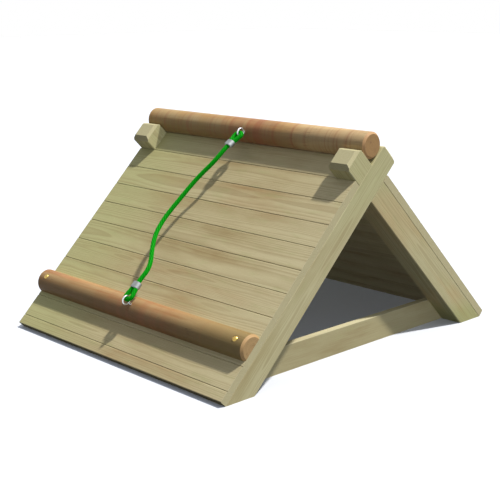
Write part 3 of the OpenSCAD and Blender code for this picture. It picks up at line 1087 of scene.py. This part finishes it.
    def rings_of_points(self, path: Sequence[Vector], runs: Sequence[float]) -> list[Vector]:
        """Sets the laid section of the rope on each point of a path.

        Args:
            path: Points of the rope's middle.
            runs: The rope's length up to each of them.

        Returns:
            The points, ring by ring.
        """
        per = self.points_per_strand
        sides = per * self.strands
        beside = self.outwards
        points: list[Vector] = []
        for i, (spot, run) in enumerate(zip(path, runs)):
            way = (path[min(i + 1, len(path) - 1)] - path[max(i - 1, 0)]).normalized()
            across = way.cross(beside).normalized()
            up = across.cross(way)
            for k in range(sides):
                off = (k % per) / per * 2 - 1
                sunk = 1 - math.sqrt(max(0.0, 1 - self.groove_round * off * off))
                reach = self.radius - self.groove * sunk
                turn = 2 * math.pi * (k / sides + run / self.lay)
                points.append(spot + (across * math.cos(turn) + up * math.sin(turn)) * reach)
        return points

    def sweep(self, name: str, path: Sequence[Vector], material: Material) -> Object:
        """Sweeps the section of a laid rope along a path.

        Args:
            name: The piece's name.
            path: Points of the rope's middle.
            material: The finish, read from the UV map named lay.

        Returns:
            The new piece.
        """
        sides = self.points_per_strand * self.strands
        runs = [0.0]
        for a, b in zip(path, path[1:]):
            runs.append(runs[-1] + (b - a).length)
        faces = [
            (i * sides + k, i * sides + after, (i + 1) * sides + after, (i + 1) * sides + k)
            for i in range(len(path) - 1)
            for k, after in ((k, (k + 1) % sides) for k in range(sides))
        ]
        last = (len(path) - 1) * sides
        faces += [tuple(range(sides - 1, -1, -1)), tuple(range(last, last + sides))]
        mesh = bpy.data.meshes.new(name)
        mesh.from_pydata([tuple(p) for p in self.rings_of_points(path, runs)], [], faces)
        layer = mesh.uv_layers.new(name="lay")
        for face in mesh.polygons:
            at_seam = len(face.vertices) == 4 and any(v % sides == sides - 1 for v in face.vertices)
            for corner, vertex in zip(face.loop_indices, face.vertices):
                ring, k = divmod(vertex, sides)
                wrap = sides if at_seam and k == 0 else 0
                layer.data[corner].uv = ((k + wrap) / self.points_per_strand, runs[ring])
        mesh.materials.append(material)
        piece = bpy.data.objects.new(name, mesh)
        bpy.context.scene.collection.objects.link(piece)
        bpy.ops.object.select_all(action="DESELECT")
        bpy.context.view_layer.objects.active = piece
        piece.select_set(True)
        bpy.ops.object.mode_set(mode="EDIT")
        bpy.ops.mesh.select_all(action="SELECT")
        bpy.ops.mesh.normals_make_consistent(inside=False)
        bpy.ops.object.mode_set(mode="OBJECT")
        bpy.ops.object.shade_smooth_by_angle(angle=self.smooth_angle)
        return piece

    def build(self) -> None:
        """Builds the rope and its two eyes and dresses the ferrules."""
        cover = RopeCover().material()
        path = self.free_path()
        rope = self.sweep("climbing_rope", path, cover)
        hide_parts("rope")
        eyes = []
        for name, node, wire, away in (
            ("upper_rope_eye", "rope_loop_top", self.top_eye + self.spoke * self.ring, self.top_way),
            ("lower_rope_eye", "rope_loop_bottom", self.low_eye - self.line * self.ring, -self.line),
        ):
            piece = self.sweep(name, self.loop_path(wire, away), cover)
            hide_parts(node)
            eyes.append(piece)
        for piece in (rope, *eyes):
            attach(piece, "rope")
            log.info("%s: %d faces", piece.name, len(piece.data.polygons))
        alloy = Plating.ALLOY.value.material()
        ferrules = ["ferrule_top", "ferrule_bottom"]
        for node in ferrules:
            dress(node, alloy)


@dataclass
class Studio:
    """Camera, floor, lamps and world, fitted to the photograph."""

    stand: Triple = (3.0703, -2.9413, 1.3253)
    azimuth: float = 46.443
    elevation: float = 13.448
    roll: float = -0.316
    lens: float = 75.787
    sensor: float = 36.0
    floor_size: float = 60.0
    floor_drop: float = 0.0002
    floor_bounce: Colour = (0.04, 0.04, 0.04, 1.0)
    floor_seen: Colour = (0.66, 0.69, 0.74, 1.0)
    floor_rough: float = 0.9
    lamp_angle: float = math.radians(3.0)
    sun_way: Triple = (0.348, 0.268, 0.898)
    sun_strength: float = 4.2
    side_way: Triple = (0.94, -0.02, 0.32)
    side_strength: float = 0.62
    low_way: Triple = (0.6, -0.1, -0.8)
    low_strength: float = 0.31
    fill_level: float = 0.08
    fill_above: float = 0.56
    sun_tint: Triple = (1.0, 0.965, 0.925)
    side_tint: Triple = (0.95, 1.0, 1.1)
    sky_tint: Colour = (0.95, 0.99, 1.1, 1.0)
    sky_seen: Colour = (1.0, 1.0, 1.0, 1.0)

    def camera(self) -> None:
        """Sets up the camera at the photograph's angle."""
        a, e, r = (math.radians(v) for v in (self.azimuth, self.elevation, self.roll))
        back = Vector((math.sin(a) * math.cos(e), -math.cos(a) * math.cos(e), math.sin(e)))
        level = Vector((math.cos(a), math.sin(a), 0.0))
        plumb = back.cross(level)
        right = level * math.cos(r) + plumb * math.sin(r)
        up = plumb * math.cos(r) - level * math.sin(r)
        data = bpy.data.cameras.new("camera")
        data.lens = self.lens
        data.sensor_width = self.sensor
        made = bpy.data.objects.new("camera", data)
        made.matrix_world = Matrix.Translation(self.stand) @ Matrix((right, up, back)).transposed().to_4x4()
        bpy.context.scene.collection.objects.link(made)
        bpy.context.scene.camera = made

    @staticmethod
    def seen(s: Sketch) -> Socket:
        """Tells rays that the camera sees from those that only light.

        Args:
            s: The tree's sketch.

        Returns:
            1 for a seen ray and 0 for another.
        """
        path = s.add("LightPath").outputs
        seen = s.math("MAXIMUM", path["Is Camera Ray"], path["Is Glossy Ray"])
        return s.math("MAXIMUM", seen, path["Is Transmission Ray"])

    def floor(self) -> None:
        """Lays a plain white floor, which lights the piece less than it shows."""
        bpy.ops.object.select_all(action="DESELECT")
        bpy.ops.mesh.primitive_plane_add(size=self.floor_size, location=(0.0, 0.0, -self.floor_drop))
        ground = bpy.context.object
        ground.name = "floor"
        made = bpy.data.materials.new("floor")
        made.use_nodes = True
        s = Sketch(made.node_tree)
        colour = s.mix(self.seen(s), self.floor_bounce, self.floor_seen)
        looks = {"Base Color": colour, "Roughness": self.floor_rough, "Specular IOR Level": 0.0}
        s.feed(made.node_tree.nodes["Principled BSDF"], looks)
        ground.data.materials.append(made)

    def lamps(self) -> None:
        """Sets the sun-like key lamp and two weak shadowless ones."""
        for name, way, strength, tint, shades in (
            ("key", self.sun_way, self.sun_strength, self.sun_tint, True),
            ("side", self.side_way, self.side_strength, self.side_tint, False),
            ("low", self.low_way, self.low_strength, self.side_tint, False),
        ):
            lamp = bpy.data.lights.new(name, "SUN")
            lamp.energy = strength
            lamp.angle = self.lamp_angle
            lamp.use_shadow = shades
            lamp.color = tint
            held = bpy.data.objects.new(name, lamp)
            held.rotation_mode = "QUATERNION"
            held.rotation_quaternion = Vector(way).to_track_quat("Z", "Y")
            bpy.context.scene.collection.objects.link(held)

    def surround(self) -> None:
        """Sets an even white surround that lights the piece more from above."""
        world = bpy.data.worlds.new("surround")
        bpy.context.scene.world = world
        world.use_nodes = True
        s = Sketch(world.node_tree)
        seen = self.seen(s)
        way = s.add("TexCoord").outputs["Generated"]
        height = s.add("SeparateXYZ", {"Vector": way}).outputs["Z"]
        sky = s.math("MULTIPLY_ADD", height, self.fill_above, self.fill_level)
        strength = s.math("MAXIMUM", s.math("MAXIMUM", sky, self.fill_level), seen)
        colour = s.mix(seen, self.sky_tint, self.sky_seen)
        s.feed(world.node_tree.nodes["Background"], {"Color": colour, "Strength": strength})

    def build(self) -> None:
        """Builds the whole studio."""
        self.camera()
        self.floor()
        self.lamps()
        self.surround()
        bpy.context.scene.view_settings.view_transform = "Standard"


def assemble(parts: Iterable[object]) -> None:
    """Builds or dresses each sub-assembly in order and reports it.

    Args:
        parts: Objects with a build or a dress method.
    """
    for part in parts:
        getattr(part, "build" if hasattr(part, "build") else "dress")()
        log.info("%s done", type(part).__name__)


def main() -> None:
    """Builds the scene."""
    logging.basicConfig(level=logging.INFO, format="%(message)s")
    assemble((Studio(), Rope(), Frames(), Decking(), Logs(), Fixings()))


if __name__ == "__main__":
    main()
